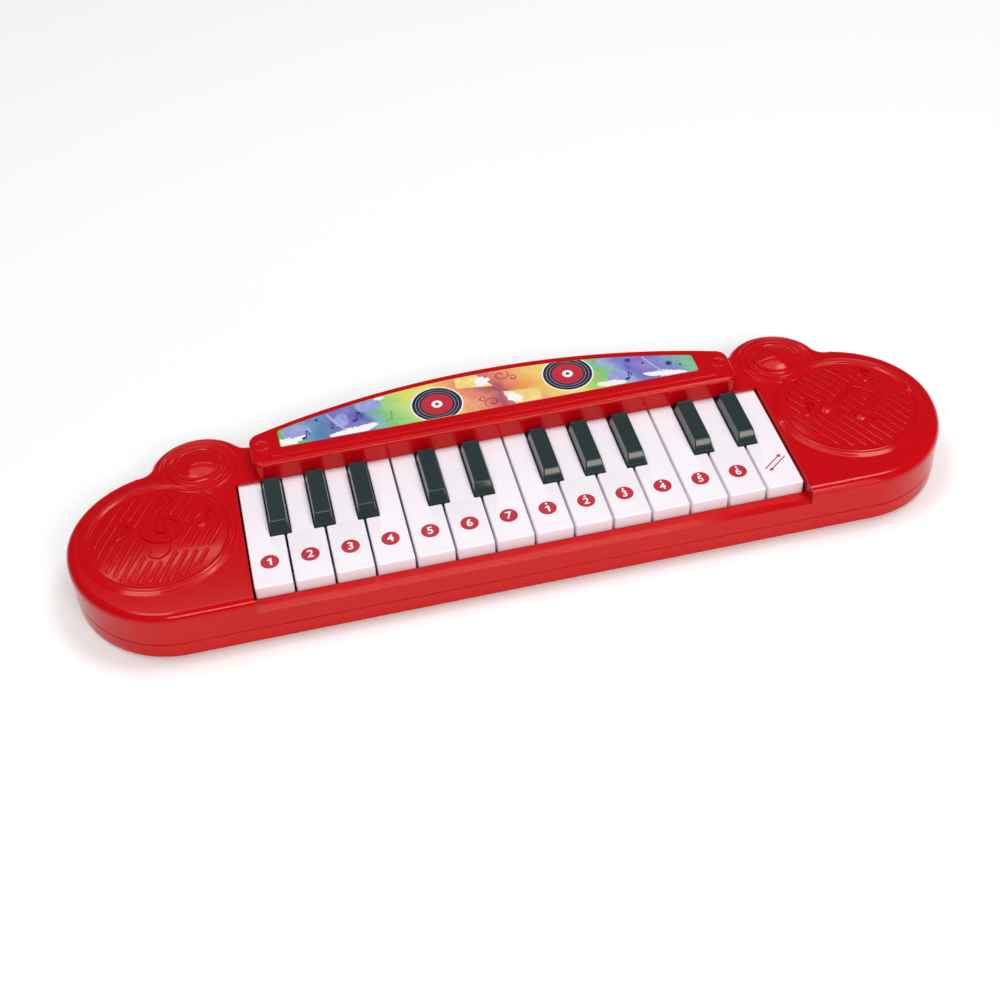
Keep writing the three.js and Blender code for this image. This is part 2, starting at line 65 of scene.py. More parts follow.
# Keys
KEYS_LEFT, PITCH, WHITE_W, KEY_TOP, KEY_FRONT, KEY_REAR, WHITE_BOTTOM = -125.5, 18.0, 17.0, 25.0, -49.0, 29.0, 15.5
BLACK_W, BLACK_TOP_W, BLACK_FRONT, BLACK_TOP_FRONT, BLACK_REAR, BLACK_TOP = 9.2, 7.5, -18.0, -15.0, 13.2, 30.5
NOTCH_GAP, NOTCH_FRONT = 0.35, 0.75
KEY_WALL = 1.5
PRINT_Y, DISC_R = -34.4, 4.15
BLACKS = [(1, -2), (2, 0), (3, 2), (5, -1.6), (6, 1.6), (8, -2), (9, 0), (10, 2), (12, -1.6), (13, 1.6)]

# Label
LABEL_CX, LABEL_X, LABEL_FRONT, LABEL_REAR = -1.3, 101.6, 27.3, 53.9
LABEL_TOP = CONSOLE_TOP - 0.1
LABEL_R = ARCH_R - (REAR - LABEL_REAR)


# ---------------------------------------------------------------- materials
def material(name):
    """New node material and its main parts."""
    mat = bpy.data.materials.new(name)
    mat.use_nodes = True
    return mat, mat.node_tree.nodes, mat.node_tree.links, mat.node_tree.nodes["Principled BSDF"]


def noise_node(nodes, links, scale, detail=3.0, rough=0.5, stretch=None):
    """Noise in the object's own coordinates."""
    coord = nodes.new("ShaderNodeTexCoord")
    tex = nodes.new("ShaderNodeTexNoise")
    tex.inputs["Scale"].default_value = scale
    tex.inputs["Detail"].default_value = detail
    tex.inputs["Roughness"].default_value = rough
    if stretch:
        mapping = nodes.new("ShaderNodeMapping")
        mapping.inputs["Scale"].default_value = stretch
        links.new(coord.outputs["Object"], mapping.inputs["Vector"])
        links.new(mapping.outputs["Vector"], tex.inputs["Vector"])
    else:
        links.new(coord.outputs["Object"], tex.inputs["Vector"])
    return tex


def ramp(nodes, links, source, stops):
    """Colour ramp through the stops, given as (position, colour)."""
    node = nodes.new("ShaderNodeValToRGB")
    element = node.color_ramp.elements
    while len(element) > len(stops):
        element.remove(element[-1])
    while len(element) < len(stops):
        element.new(0.5)
    for e, (pos, color) in zip(element, stops):
        e.position = pos
        e.color = (*color, 1)
    links.new(source, node.inputs["Fac"])
    return node


def surface(name, color, rough, spread=0.04, vary=0.06, grain=900.0, bump=0.02, metallic=0.0, specular=0.5,
            stretch=None, blotch=25.0, sheen=0.0, tint=(1, 1, 1)):
    """A surface whose colour drifts slowly, whose roughness varies, and that has a fine grain."""
    mat, nodes, links, bsdf = material(name)
    slow = noise_node(nodes, links, blotch, 2.0)
    low = [c * (1 - vary) for c in color]
    high = [min(1.0, c * (1 + vary)) for c in color]
    drift = ramp(nodes, links, slow.outputs["Fac"], [(0.3, low), (0.7, high)])
    links.new(drift.outputs["Color"], bsdf.inputs["Base Color"])
    fine = noise_node(nodes, links, grain, 4.0, 0.6, stretch)
    span = nodes.new("ShaderNodeMapRange")
    span.inputs["To Min"].default_value = max(0.02, rough - spread)
    span.inputs["To Max"].default_value = rough + spread
    links.new(fine.outputs["Fac"], span.inputs["Value"])
    links.new(span.outputs["Result"], bsdf.inputs["Roughness"])
    if bump:
        node = nodes.new("ShaderNodeBump")
        node.inputs["Strength"].default_value = bump
        node.inputs["Distance"].default_value = 0.0002
        links.new(fine.outputs["Fac"], node.inputs["Height"])
        links.new(node.outputs["Normal"], bsdf.inputs["Normal"])
    bsdf.inputs["Metallic"].default_value = metallic
    bsdf.inputs["Specular IOR Level"].default_value = specular
    bsdf.inputs["Specular Tint"].default_value = (*tint, 1)
    bsdf.inputs["Sheen Weight"].default_value = sheen
    return mat


def tone(r, g, b):
    """Scene colour of a display colour given as 0 to 255."""
    return tuple(((c / 255 + 0.055) / 1.055) ** 2.4 if c > 10 else c / 3295 for c in (r, g, b))


RED = surface("case_red", (0.55, 0.0015, 0.006), 0.12, spread=0.02, vary=0.02, grain=220, bump=0.008, specular=0.26,
              tint=(1, 0.88, 0.66))
RED_LOW = surface("lower_red", (0.56, 0.003, 0.006), 0.16, spread=0.02, vary=0.02, grain=220, bump=0.01,
                  specular=0.26, tint=(1, 0.85, 0.6))
RED_UNDER = surface("under_red", (0.5, 0.008, 0.008), 0.42, spread=0.06, vary=0.04, grain=1500, bump=0.25, specular=0.4)
WHITE = surface("key_white", (0.91, 0.85, 0.91), 0.2, spread=0.03, vary=0.008, grain=300, bump=0.008, specular=0.3)
# Near-black key plastic. Its teal tint and part of its brightness are a painted reflection of greenish surroundings on
# the key tops.
BLACK = surface("key_black", (0.022, 0.038, 0.038), 0.09, spread=0.02, vary=0.08, grain=200, bump=0.006, specular=0.5)
PRINT_RED = surface("print_red", tone(192, 28, 52), 0.35, vary=0.04, grain=1200, bump=0.03)
PRINT_WHITE = surface("print_white", (0.92, 0.9, 0.9), 0.35, vary=0.02, grain=1200, bump=0.03)
GREY = surface("bar_grey", (0.45, 0.46, 0.47), 0.45, vary=0.06, grain=700, bump=0.08)
DARK = surface("switch_dark", (0.02, 0.02, 0.022), 0.45, vary=0.12, grain=900, bump=0.12)
FELT = surface("felt", (0.16, 0.03, 0.03), 0.95, vary=0.3, grain=2600, bump=0.9, sheen=0.4)
SILICONE = surface("silicone", (0.68, 0.68, 0.64), 0.6, vary=0.05, grain=500, bump=0.05)
RUBBER = surface("foot_rubber", (0.02, 0.02, 0.02), 0.8, vary=0.2, grain=1800, bump=0.3)
LAMINATE = surface("laminate", (0.36, 0.18, 0.06), 0.5, vary=0.15, grain=400, bump=0.1, stretch=(1, 6, 1))
EPOXY = surface("epoxy", (0.01, 0.01, 0.012), 0.25, vary=0.2, grain=120, bump=0.1)
STEEL = surface("steel", (0.55, 0.56, 0.57), 0.32, spread=0.1, vary=0.08, grain=500, bump=0.05, metallic=1.0,
                stretch=(1, 1, 12))
MAGNET = surface("magnet", (0.25, 0.26, 0.27), 0.35, spread=0.1, vary=0.1, grain=300, bump=0.05, metallic=1.0)
CONE = surface("cone", (0.03, 0.03, 0.035), 0.9, vary=0.25, grain=1500, bump=0.6)
CELL = surface("cell", (0.05, 0.2, 0.09), 0.3, vary=0.1, grain=300, bump=0.03)
WIRE_BLUE = surface("wire_blue", (0.03, 0.03, 0.2), 0.45, vary=0.1, grain=700, bump=0.05)
WIRE_RED = surface("wire_red", (0.4, 0.02, 0.02), 0.45, vary=0.1, grain=700, bump=0.05)


def ink(name, color, vary=0.25, blotch=300.0):
    """Printed colour on the label."""
    return surface(name, tone(*color), 0.42, vary=vary, grain=1200, bump=0.02, specular=0.25, blotch=blotch)


INK_BLUE = ink("ink_blue", (52, 58, 140))
INK_MAROON = ink("ink_maroon", (165, 45, 60))
INK_GREEN = ink("ink_green", (108, 190, 60))
INK_LILAC = ink("ink_lilac", (150, 160, 215), 0.16)
INK_MIST = ink("ink_mist", (176, 176, 224), 0.1)
INK_STRAW = ink("ink_straw", (240, 214, 130), 0.12)
VINYL = ink("ink_black", (34, 38, 44), 0.2)


def label_material():
    """Watercolour washes that run green, blue, violet, leaf green and orange from each end to the middle."""
    mat, nodes, links, bsdf = material("label")
    coord = nodes.new("ShaderNodeTexCoord")
    split = nodes.new("ShaderNodeSeparateXYZ")
    links.new(coord.outputs["Object"], split.inputs["Vector"])
    wobble = noise_node(nodes, links, 70.0, 6.0, 0.65)
    across = nodes.new("ShaderNodeMapRange")
    across.clamp = False
    across.inputs["From Min"].default_value = (LABEL_CX - LABEL_X) * MM
    across.inputs["From Max"].default_value = (LABEL_CX + LABEL_X) * MM
    slant = nodes.new("ShaderNodeMath")
    slant.operation = "MULTIPLY_ADD"
    slant.inputs[1].default_value = 0.4
    links.new(split.outputs["Y"], slant.inputs[0])
    links.new(split.outputs["X"], slant.inputs[2])
    level = nodes.new("ShaderNodeMath")
    level.operation = "SUBTRACT"
    level.inputs[1].default_value = 0.4 * 40 * MM
    links.new(slant.outputs["Value"], level.inputs[0])
    links.new(level.outputs["Value"], across.inputs["Value"])
    shift = nodes.new("ShaderNodeMath")
    shift.operation = "MULTIPLY_ADD"
    shift.inputs[1].default_value = 0.12
    shift.inputs[2].default_value = -0.06
    links.new(wobble.outputs["Fac"], shift.inputs[0])
    place = nodes.new("ShaderNodeMath")
    links.new(across.outputs["Result"], place.inputs[0])
    links.new(shift.outputs["Value"], place.inputs[1])
    wash = ramp(nodes, links, place.outputs["Value"], [(at / (2 * LABEL_X), tone(*color)) for at, color in (
        (0, (88, 172, 60)), (6, (96, 176, 84)), (11, (92, 150, 170)), (18, (70, 120, 172)), (25, (78, 88, 168)),
        (33, (112, 98, 182)), (39, (82, 88, 172)), (43, (112, 168, 178)), (50, (122, 192, 112)), (58, (150, 206, 108)),
        (66, (210, 218, 96)), (78, (236, 214, 100)), (88, (236, 160, 108)), (97, (222, 112, 84)), (104, (158, 64, 92)),
        (109, (214, 96, 78)), (119, (236, 150, 76)), (129, (238, 196, 78)), (139, (230, 222, 110)),
        (151, (168, 206, 84)), (158, (112, 186, 108)), (164, (140, 164, 212)), (172, (98, 98, 186)),
        (181, (120, 98, 190)), (189, (98, 112, 190)), (195, (112, 172, 150)), (2 * LABEL_X, (96, 186, 96)))])
    pool = noise_node(nodes, links, 90.0, 6.0, 0.62)
    wet = ramp(nodes, links, pool.outputs["Fac"], [(0.35, (0, 0, 0)), (0.62, (1, 1, 1))])
    light = nodes.new("ShaderNodeMix")
    light.data_type = "RGBA"
    light.blend_type = "SCREEN"
    light.inputs["Factor"].default_value = 0.12
    links.new(wash.outputs["Color"], light.inputs["A"])
    links.new(wet.outputs["Color"], light.inputs["B"])
    speck = noise_node(nodes, links, 420.0, 3.0, 0.7)
    dots = ramp(nodes, links, speck.outputs["Fac"], [(0.3, (0.72, 0.72, 0.78)), (0.42, (1, 1, 1))])
    dark = nodes.new("ShaderNodeMix")
    dark.data_type = "RGBA"
    dark.blend_type = "MULTIPLY"
    dark.inputs["Factor"].default_value = 0.6
    links.new(light.outputs["Result"], dark.inputs["A"])
    links.new(dots.outputs["Color"], dark.inputs["B"])
    links.new(dark.outputs["Result"], bsdf.inputs["Base Color"])
    bsdf.inputs["Roughness"].default_value = 0.4
    bsdf.inputs["Specular IOR Level"].default_value = 0.3
    return mat


LABEL = label_material()


# ---------------------------------------------------------------- outlines
def arc(cx, cy, rx, ry, start, end, steps):
    """Points on an ellipse between two angles in degrees."""
    out = []
    for i in range(steps + 1):
        a = math.radians(start + (end - start) * i / steps)
        out.append((cx + rx * math.cos(a), cy + ry * math.sin(a)))
    return out


def rounded(corners, steps=6):
    """Rounds the corners of a polygon given as (x, y, radius)."""
    out = []
    for i, (x, y, r) in enumerate(corners):
        if not r:
            out.append((x, y))
            continue
        p = Vector((x, y))
        before = (Vector(corners[i - 1][:2]) - p).normalized()
        after = (Vector(corners[(i + 1) % len(corners)][:2]) - p).normalized()
        half = before.angle(after) / 2
        centre = p + (before + after).normalized() * (r / math.sin(half))
        start = p + before * (r / math.tan(half)) - centre
        turn = math.pi - 2 * half
        sign = 1 if before.cross(after) < 0 else -1
        for k in range(steps + 1):
            q = Matrix.Rotation(sign * turn * k / steps, 2) @ start
            out.append((centre.x + q.x, centre.y + q.y))
    return out


def inset(points, d):
    """Moves every vertex of a counter-clockwise outline inwards by d."""
    out = []
    for i, (x, y) in enumerate(points):
        a = (Vector((x, y)) - Vector(points[i - 1])).normalized()
        b = (Vector(points[(i + 1) % len(points)]) - Vector((x, y))).normalized()
        k = d / (1 + a.dot(b))
        out.append((x - (a.y + b.y) * k, y + (a.x + b.x) * k))
    return out


def arch(half_x, apex, radius, steps):
    """Shallow arc over the middle, from right to left."""
    xs = [half_x - 2 * half_x * i / steps for i in range(steps + 1)]
    return [(x, apex - radius + math.sqrt(radius * radius - x * x)) for x in xs]


def low_outline():
    """Both rounded ends with the round bosses beside them."""
    join = math.degrees(math.atan2(JOIN_Y - DISH_Y, JOIN_X - DISH_X))
    right = (
        arc(END_X, END_Y, END_RX, END_FRONT_RY, -90, 0, 36)
        + arc(END_X, END_Y, END_RX, END_REAR_RY, 0, 72, 26)[1:]
        + arc(JOIN_X, JOIN_Y, JOIN_R, JOIN_R, -76, -180 + join, 10)
        + arc(DISH_X, DISH_Y, BUMP_R, BUMP_R, join, 143, 32)[1:]
        + [(120.6, 44.4), (118.4, 43.6), (104.5, 42.3), (104.5, 33)]
    )
    return right + [(-x, y) for x, y in reversed(right)]


def console_outline():
    """The raised console with its arched back."""
    corner = REAR - ARCH_R + math.sqrt(ARCH_R ** 2 - CONSOLE_X ** 2)
    return rounded(
        [(-CONSOLE_X, CONSOLE_FRONT, 5), (CONSOLE_X, CONSOLE_FRONT, 5), (CONSOLE_X, corner, 6)]
        + [(x, y, 0) for x, y in arch(105, REAR, ARCH_R, 48)]
        + [(-CONSOLE_X, corner, 6)], 10)


def label_outline(grow=0.0):
    """The printed sheet, which follows the arch of the console."""
    side = LABEL_REAR - LABEL_R + math.sqrt(LABEL_R ** 2 - LABEL_X ** 2)
    points = rounded(
        [(-LABEL_X, LABEL_FRONT, 1.6), (LABEL_X, LABEL_FRONT, 1.6), (LABEL_X, side, 1.6)]
        + [(x, y, 0) for x, y in arch(94, LABEL_REAR, LABEL_R, 40)]
        + [(-LABEL_X, side, 1.6)], 5)
    points = [(x + LABEL_CX, y) for x, y in points]
    return inset(points, -grow) if grow else points


LOW = low_outline()
CONSOLE = console_outline()


# ---------------------------------------------------------------- meshes
def make(name, verts, faces, mat, smooth=32):
    """Mesh object from points in millimetres."""
    mesh = bpy.data.meshes.new(name)
    mesh.from_pydata([[c * MM for c in v] for v in verts], [], faces)
    mesh.validate()
    obj = bpy.data.objects.new(name, mesh)
    bpy.context.scene.collection.objects.link(obj)
    mesh.materials.append(mat)
    finish_mesh(obj, smooth)
    return obj


def finish_mesh(obj, smooth=32):
    """Welds the mesh, turns its faces outwards and smooths all but its edges."""
    bm = bmesh.new()
    bm.from_mesh(obj.data)
    bmesh.ops.remove_doubles(bm, verts=bm.verts, dist=1e-7)
    bmesh.ops.recalc_face_normals(bm, faces=bm.faces)
    bm.to_mesh(obj.data)
    bm.free()
    obj.data.polygons.foreach_set("use_smooth", [True] * len(obj.data.polygons))
    obj.data.set_sharp_from_angle(angle=math.radians(smooth))
    obj.data.update()


def loft(rings):
    """Skin over rings of equal length, closed at both ends."""
    n = len(rings[0])
    verts = [v for ring in rings for v in ring]
    faces = [list(reversed(range(n))), [(len(rings) - 1) * n + i for i in range(n)]]
    for k in range(len(rings) - 1):
        for i in range(n):
            j = (i + 1) % n
            faces.append([k * n + i, k * n + j, (k + 1) * n + j, (k + 1) * n + i])
    return verts, faces


def slab_rings(points, z0, z1, top=0.0, bottom=0.0, steps=8):
    """Rings of a slab whose top and bottom edges are rounded."""
    rings = []
    if bottom:
        for i in range(steps + 1):
            a = math.radians(90 * i / steps)
            rings.append((bottom * (1 - math.sin(a)), z0 + bottom * (1 - math.cos(a))))
    else:
        rings.append((0, z0))
    if top:
        for i in range(steps + 1):
            a = math.radians(90 * i / steps)
            rings.append((top * (1 - math.cos(a)), z1 - top * (1 - math.sin(a))))
    else:
        rings.append((0, z1))
    return [[(x, y, z) for x, y in (inset(points, d) if d else points)] for d, z in rings]


def slab(name, points, z0, z1, mat=RED, **kw):
    return make(name, *loft(slab_rings(points, z0, z1, **kw)), mat)


def box_points(x0, x1, y0, y1, r=0.0):
    return rounded([(x0, y0, r), (x1, y0, r), (x1, y1, r), (x0, y1, r)])


def block(x0, x1, y0, y1, z0, z1, r=0.0):
    return slab("block", box_points(x0, x1, y0, y1, r), z0, z1)


def spun(name, profile, x, y, mat=RED, sides=96, smooth=40):
    """Turns a profile of (radius, z) about a vertical axis. It starts and ends on the axis."""
    verts, faces, rows = [], [], []
    for r, z in profile:
        if r < 1e-6:
            rows.append([len(verts)] * sides)
            verts.append((x, y, z))
        else:
            rows.append([len(verts) + k for k in range(sides)])
            for k in range(sides):
                a = 2 * math.pi * k / sides
                verts.append((x + r * math.cos(a), y + r * math.sin(a), z))
    for lower, upper in zip(rows, rows[1:]):
        for k in range(sides):
            j = (k + 1) % sides
            face = []
            for v in (lower[k], lower[j], upper[j], upper[k]):
                if v not in face:
                    face.append(v)
            if len(face) > 2:
                faces.append(face)
    return make(name, verts, faces, mat, smooth)


def post(x, y, r, z0, z1, sides=32):
    return spun("post", [(0, z0), (r, z0), (r, z1), (0, z1)], x, y, sides=sides)


def apply_modifiers(obj):
    graph = bpy.context.evaluated_depsgraph_get()
    mesh = bpy.data.meshes.new_from_object(obj.evaluated_get(graph))
    old = obj.data
    obj.modifiers.clear()
    obj.data = mesh
    bpy.data.meshes.remove(old)


def boolean(obj, others, operation="DIFFERENCE"):
    for other in others:
        mod = obj.modifiers.new("cut", "BOOLEAN")
        mod.operation = operation
        mod.object = other
        mod.solver = "MANIFOLD"
        apply_modifiers(obj)
        mesh = other.data
        bpy.data.objects.remove(other)
        bpy.data.meshes.remove(mesh)
    return obj


def facet(obj):
    """Splits large flat faces into triangles, so that a cut through one leaves no face with a hole in it."""
    bm = bmesh.new()
    bm.from_mesh(obj.data)
    bmesh.ops.triangulate(bm, faces=[face for face in bm.faces if len(face.verts) > 4])
    bm.to_mesh(obj.data)
    bm.free()
    return obj


def join(name, parts):
    """Joins several objects into one, keeping every material."""
    bm = bmesh.new()
    mats = []
    for part in parts:
        mesh = part.data
        start = len(bm.faces)
        bm.from_mesh(mesh)
        bm.faces.ensure_lookup_table()
        table = []
        for mat in mesh.materials:
            if mat not in mats:
                mats.append(mat)
            table.append(mats.index(mat))
        for face in bm.faces[start:]:
            face.material_index = table[face.material_index]
        bpy.data.objects.remove(part)
        bpy.data.meshes.remove(mesh)
    mesh = bpy.data.meshes.new(name)
    bm.to_mesh(mesh)
    bm.free()
    for mat in mats:
        mesh.materials.append(mat)
    obj = bpy.data.objects.new(name, mesh)
    bpy.context.scene.collection.objects.link(obj)
    mesh.polygons.foreach_set("use_smooth", [True] * len(mesh.polygons))
    mesh.set_sharp_from_angle(angle=math.radians(32))
    return obj


def bevel(obj, width, steps=2, angle=40):
    mod = obj.modifiers.new("bevel", "BEVEL")
    mod.width = width * MM
    mod.segments = steps
    mod.limit_method = "ANGLE"
    mod.angle_limit = math.radians(angle)
    apply_modifiers(obj)
    finish_mesh(obj)
    return obj


def weighted(obj):
    """Keeps large flat faces flat beside rounded edges."""
    mod = obj.modifiers.new("normals", "WEIGHTED_NORMAL")
    mod.keep_sharp = True
    mod.weight = 90
    return obj


# ---------------------------------------------------------------- relief on the case
def smooth_path(points, step=0.8):
    """Catmull-Rom curve through the points, sampled about every step millimetres."""
    pts = [Vector(p) for p in points]
    pts = [pts[0] * 2 - pts[1]] + pts + [pts[-1] * 2 - pts[-2]]
    out = []
    for a, b, c, d in zip(pts, pts[1:], pts[2:], pts[3:]):
        n = max(1, int((c - b).length / step))
        for i in range(n):
            t = i / n
            out.append(0.5 * (2 * b + (c - a) * t + (2 * a - 5 * b + 4 * c - d) * t * t
                              + (3 * b - a - 3 * c + d) * t ** 3))
    return out + [pts[-2]]


def ridge(points, width, height, floor):
    """A raised line with a flat back and rounded ends, standing on the surface height floor(x, y)."""
    section = [(0.5, -0.3), (0.47, 0.35), (0.38, 0.8), (0.24, 1.0), (-0.24, 1.0), (-0.38, 0.8), (-0.47, 0.35),
               (-0.5, -0.3)]
    first, last = points[0], points[-1]
    start = (points[1] - first).normalized() * (width / 2)
    end = (last - points[-2]).normalized() * (width / 2)
    stations = [(first - start, 0.12), (first - start * 0.86, 0.5), (first - start * 0.5, 0.86)]
    stations += [(p, 1.0) for p in points]
    stations += [(last + end * 0.5, 0.86), (last + end * 0.86, 0.5), (last + end, 0.12)]
    verts, faces = [], []
    top = len(stations) - 1
    for i, (p, size) in enumerate(stations):
        along = (stations[min(i + 1, top)][0] - stations[max(i - 1, 0)][0]).normalized()
        side = Vector((-along.y, along.x))
        for across, rise in section:
            q = p + side * (across * width * size)
            z = height * rise * (size if rise > 0 else 1)
            verts.append((q.x, q.y, floor(q.x, q.y) + z))
    n = len(section)
    for i in range(top):
        for k in range(n - 1):
            faces.append([i * n + k, (i + 1) * n + k, (i + 1) * n + k + 1, i * n + k + 1])
        faces.append([i * n, i * n + n - 1, (i + 1) * n + n - 1, (i + 1) * n])
    faces.append(list(range(n)))
    faces.append([top * n + n - 1 - k for k in range(n)])
    return verts, faces


def blob(cx, cy, rx, ry, turn, height, floor):
    """A low rounded pad, such as the head of a note."""
    verts = [(cx, cy, floor(cx, cy) + height)]
    faces = []
    rings = [(0.5, 0.9), (0.8, 0.6), (1.0, -0.3)]
    sides = 20
    for size, rise in rings:
        for k in range(sides):
            a = 2 * math.pi * k / sides
            u, v = rx * size * math.cos(a), ry * size * math.sin(a)
            x = cx + u * math.cos(turn) - v * math.sin(turn)
            y = cy + u * math.sin(turn) + v * math.cos(turn)
            verts.append((x, y, floor(x, y) + height * rise))
    for k in range(sides):
        j = (k + 1) % sides
        faces.append([0, 1 + k, 1 + j])
        for m in range(len(rings) - 1):
            a, b = 1 + m * sides, 1 + (m + 1) * sides
            faces.append([a + k, b + k, b + j, a + j])
    faces.append([1 + (len(rings) - 1) * sides + k for k in reversed(range(sides))])
    return verts, faces


CLEF = [(3.6, 0.4), (0.2, 1.6), (-0.6, 5.6), (2.6, 8.8), (7.4, 8.2), (10.4, 4.0), (9.2, -1.8), (4.0, -5.2),
        (-2.4, -4.2), (-6.6, 0.6), (-6.6, 7.0), (-2.4, 12.6), (3.0, 17.2), (7.0, 21.8), (6.4, 26.2), (3.8, 26.6),
        (1.6, 22.4), (2.0, 14.0), (3.6, 3.0), (4.4, -6.0), (3.6, -11.4), (0.0, -14.4), (-4.0, -13.0), (-4.6, -10.2)]


def eighth_note(x, y, size, lean=0.0):
    """Stem and flag of a note, and where its head goes."""
    stem = [(x + 2.2 * size, y), (x + (2.4 + lean) * size, y + 5 * size), (x + (2.6 + lean) * size, y + 10 * size)]
    flag = [stem[-1], (x + (4.4 + lean) * size, y + 7.6 * size), (x + (5.4 + lean) * size, y + 5.4 * size),
            (x + (4.8 + lean) * size, y + 3.6 * size)]
    return [stem, flag], (x, y, 2.6 * size, 1.8 * size)


def grille_floor(side):
    """Height of the domed middle of the mound at a point."""
    cx, cy = side * GRILLE_X, GRILLE_Y

    def floor(x, y):
        r = math.hypot(x - cx, y - cy) / 30.6
        return CHEEK_TOP + 0.5 + 1.1 * max(0.0, 1 - r * r)

    return floor


def grille_mound(side):
    """Low round mound with a bead on its rim and a domed middle."""
    z = CHEEK_TOP
    profile = [(0, z - 1), (36.2, z - 1), (36.2, z - 0.05), (35.6, z + 0.12), (34.6, z + 0.5), (33.9, z + 0.78),
               (33.5, z + 0.82), (33.2, z + 0.78), (32.9, z + 0.95), (32.5, z + 1.12), (32.1, z + 1.12),
               (31.7, z + 0.92), (31.3, z + 0.6), (30.9, z + 0.48)]
    for k in range(16, -1, -1):
        r = k / 16
        profile.append((30.6 * r, z + 0.5 + 1.1 * (1 - r * r)))
    return spun("mound", profile, side * GRILLE_X, GRILLE_Y, sides=144)


def grille_relief(side):
    """Slanted bars and music signs that stand on the mound."""
    cx, cy = side * GRILLE_X, GRILLE_Y
    floor = grille_floor(side)
    lines, heads = [], []
    if side < 0:
        lines.append(([(cx + x, cy + y) for x, y in CLEF], 1.7))
        for note in (eighth_note(cx + 19.5, cy + 1.5, 1.1, 0.4), eighth_note(cx - 17.5, cy + 1.8, 0.95, 0.2)):
            lines += [(path, 1.2) for path in note[0]]
            heads.append(note[1])
        gap = [(cx + 5.5 + 1.2 * k, cy - 11.4 - 0.12 * k, 1.6) for k in range(20)]
    else:
        lines += [([(cx - 7.4, cy + 1.6), (cx + 6.6, cy + 11.6)], 1.5),
                  ([(cx + 6.4, cy - 7.4), (cx + 14.4, cy + 3.8)], 1.5),
                  ([(cx + 6.6, cy + 11.6), (cx + 11.2, cy + 7.6), (cx + 14.4, cy + 3.8)], 2.4)]
        heads += [(cx - 10.8, cy - 0.2, 4.4, 3.3), (cx + 3.0, cy - 9.6, 4.4, 3.3)]
        for note in (eighth_note(cx + 14.5, cy + 14.5, 0.9, -0.8), eighth_note(cx - 21.5, cy - 2.0, 0.9, 0.8)):
            lines += [(path, 1.2) for path in note[0]]
            heads.append(note[1])
        gap = []
    parts, taken = [], list(gap)
    for path, width in lines:
        curve = smooth_path(path)
        taken += [(p.x, p.y, width / 2 + 2.1) for p in curve]
        parts.append(make("sign", *ridge(curve, width, 0.8, floor), RED, 50))
    for x, y, rx, ry in heads:
        taken.append((x, y, rx + 1.9))
        parts.append(make("head", *blob(x, y, rx, ry, 0.35, 0.9, floor), RED, 60))

    angle = math.radians(61 if side < 0 else 119)
    along = Vector((math.cos(angle), math.sin(angle)))
    across = Vector((-along.y, along.x))
    for k in range(-7, 8):
        run = []
        for t in range(-60, 61):
            p = Vector((cx, cy)) + across * (k * 4.15) + along * (t / 2)
            free = (p - Vector((cx, cy))).length < 28.4 and all(
                math.hypot(p.x - x, p.y - y) > gap for x, y, gap in taken)
            if free:
                run.append(p)
            if run and (not free or t == 60):
                if len(run) > 7:
                    parts.append(make("bar", *ridge(run[::3] + [run[-1]] if (len(run) - 1) % 3 else run[::3],
                                                    2.3, 0.6, floor), RED, 50))
                run = []
    return join(f"grille_{'right' if side > 0 else 'left'}", parts)


def dish(side):
    """Round boss that climbs in steps to a smooth dome."""
    z = CHEEK_TOP
    profile = [(0, z - 1), (18.6, z - 1), (18.6, z - 0.08), (18.2, z + 0.1), (17.8, z + 0.55), (17.4, z + 0.78),
               (16.9, z + 0.8), (16.4, z + 0.6), (15.6, z + 0.5), (15.0, z + 0.6), (14.6, z + 0.95), (14.2, z + 1.4),
               (13.8, z + 1.6), (13.3, z + 1.6), (12.8, z + 1.4), (12.0, z + 1.3), (11.5, z + 1.45), (11.1, z + 1.9),
               (10.7, z + 2.25), (10.3, z + 2.3), (9.9, z + 2.1), (9.6, z + 2.02)]
    for k in range(16, -1, -1):
        r = k / 16
        profile.append((9.4 * r, z + 2.05 + 1.9 * (1 - r * r)))
    return spun("dish", profile, side * RING_X, RING_Y, sides=112)


